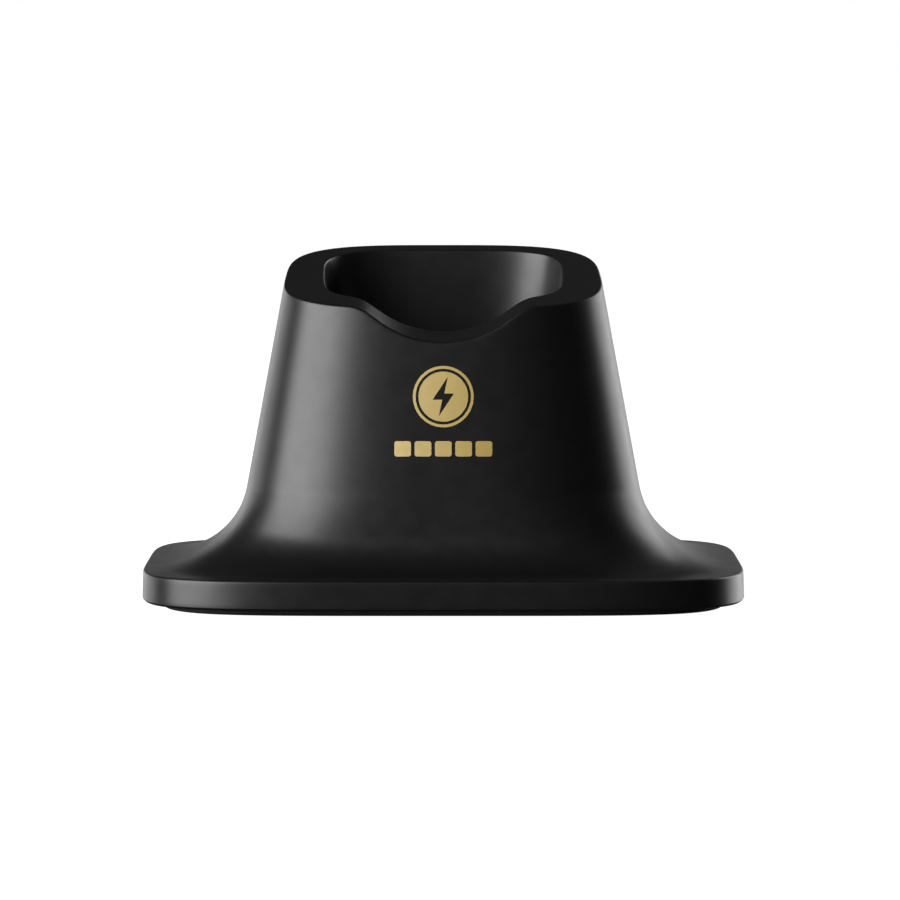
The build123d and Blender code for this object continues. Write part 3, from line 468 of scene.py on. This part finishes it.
def shell_rings():
    """The closed cross-section of the shell, as rings of (radius, height) at every angle."""
    flat = np.zeros(AROUND)
    rings = []
    # Well: from the opening in its floor out to the wall, and up.
    opening = opening_radius(OPENING_X, OPENING_Y, OPENING_CORNER)
    floor_in = np.array([opening, WELL_FLOOR + flat])
    corner = np.array([well(WELL_FLOOR + flat), WELL_FLOOR + flat])
    wall_up = np.array([well(WELL_FLOOR + FLOOR_PROBE + flat), WELL_FLOOR + FLOOR_PROBE + flat])
    floor_arc = rounded_corner(corner, floor_in, wall_up, WELL_CORNER, FLOOR_CORNER_STEPS)
    rings += [floor_in] + ramp(floor_in, floor_arc[0], FLOOR_STEPS) + floor_arc
    r_in, z_in = meet_lip(well)
    r_out, z_out = meet_lip(body)
    inner = np.array([r_in, z_in])
    below = np.array([well(z_in - EDGE_PROBE), z_in - EDGE_PROBE])
    across = np.array([r_in + EDGE_PROBE, lip(r_in + EDGE_PROBE)])
    inner_arc = rounded_corner(inner, below, across, EDGE_ROUND, RIM_EDGE_STEPS)
    start_z, end_z = floor_arc[-1][1], inner_arc[0][1]
    rings += wall_rings(well, start_z, end_z, WELL_STEPS)[1:-1] + inner_arc
    # Rim, then down the body and along the flare.
    outer = np.array([r_out, z_out])
    across = np.array([r_out - EDGE_PROBE, lip(r_out - EDGE_PROBE)])
    below = np.array([body(z_out - EDGE_PROBE), z_out - EDGE_PROBE])
    outer_arc = rounded_corner(outer, across, below, EDGE_ROUND, RIM_EDGE_STEPS)
    rings += lip_rings(inner_arc[-1][0], outer_arc[0][0], 0, RIM_STEPS)[1:-1] + outer_arc
    flare = flare_rings(0, 0, BAND_TOP, FLARE_STEPS)
    rings += wall_rings(body, outer_arc[-1][1], flare[0][1], BODY_STEPS)[1:-1] + flare
    # Low top, band, bevel.
    band_x, band_y = BASE_X + BAND_DRAFT, BASE_Y + BAND_DRAFT
    edge = np.array([outline(BASE_X, BASE_Y, BASE_POWER), BAND_TOP + flat])
    band_low = np.array([outline(band_x, band_y, BASE_POWER), BAND_BOTTOM + BAND_BEVEL + flat])
    edge_arc = rounded_corner(edge, flare[-1], band_low, EDGE_ROUND, BAND_EDGE_STEPS)
    rings += ramp(flare[-1], edge_arc[0], TOP_STEPS) + edge_arc
    bevel_x, bevel_y = band_x - BAND_BEVEL, band_y - BAND_BEVEL
    under = np.array([outline(bevel_x, bevel_y, BASE_POWER), BAND_BOTTOM + flat])
    band_arc = rounded_corner(band_low, edge_arc[-1], under, BEVEL_ROUND, BEVEL_STEPS)
    rings += ramp(edge_arc[-1], band_arc[0], BAND_STEPS) + band_arc + [under]
    # Inside: up the band, along the low top, up the flare and body, over the ceiling and down the
    # well's skin to its floor.
    edge_z = BAND_TOP - WALL / cos(TOP_SLOPE) + WALL * tan(TOP_SLOPE)
    skirt_low = np.array([outline(band_x - WALL, band_y - WALL, BASE_POWER), BAND_BOTTOM + flat])
    skirt_top = np.array([outline(BASE_X - WALL, BASE_Y - WALL, BASE_POWER), edge_z + flat])
    rings += [skirt_low] + ramp(skirt_low, skirt_top, INSIDE_SHORT_STEPS) + [skirt_top]
    inner_flare = flare_rings(WALL / cos(BODY_DRAFT_X), WALL, edge_z, INSIDE_STEPS)[::-1]
    rings += ramp(skirt_top, inner_flare[0], INSIDE_SHORT_STEPS) + inner_flare
    r_top_out, z_top_out = meet_lip(inner_body, CEILING_WALL)
    r_top_in, z_top_in = meet_lip(well_skin, CEILING_WALL)
    rings += wall_rings(inner_body, inner_flare[-1][1], z_top_out, INSIDE_STEPS)[1:]
    rings += lip_rings(r_top_out, r_top_in, CEILING_WALL, CEILING_STEPS)[1:-1]
    underside = WELL_FLOOR - WALL + flat
    rings += wall_rings(well_skin, z_top_in, underside, INSIDE_STEPS)
    floor_under = np.array([opening, underside])
    rings += ramp(rings[-1], floor_under, UNDERSIDE_STEPS) + [floor_under]
    return rings


def slot_cutter():
    """A round-ended bar that opens the power inlet through the back of the band."""
    half = INLET_HEIGHT / 2
    run = INLET_WIDTH / 2 - half
    ring = []
    for side in (1, -1):
        for k in range(INLET_STEPS + 1):
            angle = -pi / 2 + pi * k / INLET_STEPS
            ring.append((side * (run + half * cos(angle)), side * half * sin(angle)))
    near, far = BASE_Y - INLET_IN, BASE_Y + INLET_OUT
    vertices = [(x, y, INLET_Z + z) for y in (near, far) for x, z in ring]
    count = len(ring)
    faces = [tuple(range(count))[::-1], tuple(range(count, 2 * count))]
    faces += [(i, (i + 1) % count, count + (i + 1) % count, count + i) for i in range(count)]
    mesh = new_mesh("slot_cutter", vertices, faces)
    face_outward(mesh)
    return in_scene("slot_cutter", mesh)


def make_shell():
    """The shell: one skin of quads over the closed loop of rings, with the inlet cut through it."""
    rings = shell_rings()
    vertices = np.concatenate([np.stack([r * COS, r * SIN, z], 1) for r, z in rings])
    faces = []
    for k in range(len(rings)):
        here, there = k * AROUND, (k + 1) % len(rings) * AROUND
        for i in range(AROUND):
            j = (i + 1) % AROUND
            faces.append((here + i, here + j, there + j, there + i))
    shell = new_piece("shell", vertices, faces, "stand", MATERIALS["housing"])
    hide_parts("upper_housing")
    cut(shell, slot_cutter())
    face_outward(shell.data, CREASE)


make_shell()

for name, piece in frame["nodes"].items():
    slot = next(s["material_slot"] for s in frame["record"]["subparts"] if s["node"] == name)
    piece.data.materials.clear()
    piece.data.materials.append(MATERIALS[slot])


# ---------------------------------------------------------------- stage
def area_light(name, azimuth, elevation, width, height, radiance):
    """A soft box that faces the stand. Azimuth 0 is in front of it, and positive is to its right."""
    light = bpy.data.lights.new(name, "AREA")
    light.shape = "RECTANGLE"
    light.size, light.size_y = width, height
    light.energy = radiance * pi * width * height
    lamp = in_scene(name, light)
    a, e = radians(azimuth), radians(elevation)
    away = Vector((sin(a) * cos(e), -cos(a) * cos(e), sin(e)))
    lamp.location = LIGHT_AIM + away * LIGHT_DISTANCE
    lamp.rotation_euler = (-away).to_track_quat("-Z", "Y").to_euler()
    lamp.visible_camera = False


def make_floor():
    """A floor that glows to white in the picture and that nothing else reflects."""
    mesh = bpy.data.meshes.new("studio_floor")
    signs = ((-1, -1), (1, -1), (1, 1), (-1, 1))
    corners = [(x * FLOOR_HALF, y * FLOOR_HALF, FLOOR_Z) for x, y in signs]
    mesh.from_pydata(corners, [], [(0, 1, 2, 3)])
    floor = in_scene("studio_floor", mesh)
    material, _, _, principled = shader("floor_paper")
    principled.inputs["Base Color"].default_value = (FLOOR_GREY, FLOOR_GREY, FLOOR_GREY, 1)
    principled.inputs["Roughness"].default_value = 1.0
    principled.inputs["Specular IOR Level"].default_value = 0.0
    principled.inputs["Emission Color"].default_value = (1, 1, 1, 1)
    principled.inputs["Emission Strength"].default_value = 1.0
    mesh.materials.append(material)
    floor.visible_glossy = False
    floor.visible_diffuse = False
    floor.visible_shadow = False


def make_world():
    """White to the camera, and a dim grey room to everything that reflects it."""
    world = bpy.data.worlds.new("studio")
    world.use_nodes = True
    nodes, links = world.node_tree.nodes, world.node_tree.links
    nodes.clear()
    output = nodes.new("ShaderNodeOutputWorld")
    mix = nodes.new("ShaderNodeMixShader")
    path = nodes.new("ShaderNodeLightPath")
    links.new(path.outputs["Is Camera Ray"], mix.inputs["Fac"])
    for socket, strength in ((1, ROOM_STRENGTH), (2, PAPER_STRENGTH)):
        background = nodes.new("ShaderNodeBackground")
        background.inputs["Color"].default_value = (1, 1, 1, 1)
        background.inputs["Strength"].default_value = strength
        links.new(background.outputs["Background"], mix.inputs[socket])
    links.new(mix.outputs["Shader"], output.inputs["Surface"])
    bpy.context.scene.world = world


def make_camera():
    """A long lens from the front, a little above the stand."""
    data = bpy.data.cameras.new("camera")
    data.lens, data.sensor_width = CAMERA_LENS, CAMERA_SENSOR
    data.clip_start, data.clip_end = CAMERA_NEAR, CAMERA_FAR
    camera = in_scene("camera", data)
    camera.location = CAMERA_AT
    camera.rotation_euler = (CAMERA_AIM - camera.location).to_track_quat("-Z", "Y").to_euler()
    bpy.context.scene.camera = camera


for softbox in SOFTBOXES:
    area_light(*softbox)
make_floor()
make_world()
make_camera()
bpy.context.scene.view_settings.view_transform = "Standard"
